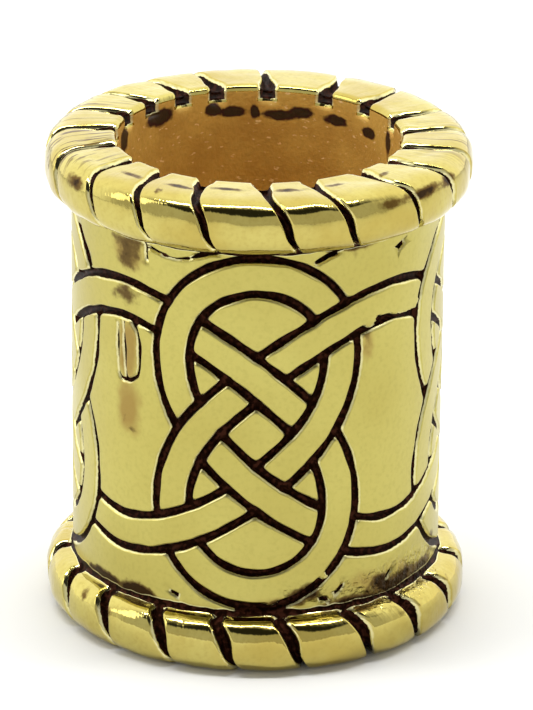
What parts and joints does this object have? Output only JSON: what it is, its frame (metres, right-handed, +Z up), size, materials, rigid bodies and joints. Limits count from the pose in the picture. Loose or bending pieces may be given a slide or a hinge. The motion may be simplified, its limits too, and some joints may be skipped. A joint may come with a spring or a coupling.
{
  "type": "hair cuff bead",
  "caption": "Round cast brass hair bead with a wide open hole, a rope rim at each end and an interlaced knot round the wall.",
  "frame": {"origin": "centre of the lower rim's flat end, on the axis of the hole", "axes": "+Z up along the hole, -Y towards the front, where one of the four knots is centred"},
  "size_m": [0.012, 0.012, 0.0141],
  "materials": {
    "antiqued_brass": "polished cast brass with dark antiquing in its grooves"
  },
  "bodies": {
    "root": {"bead": "antiqued_brass"}
  },
  "joints": []
}
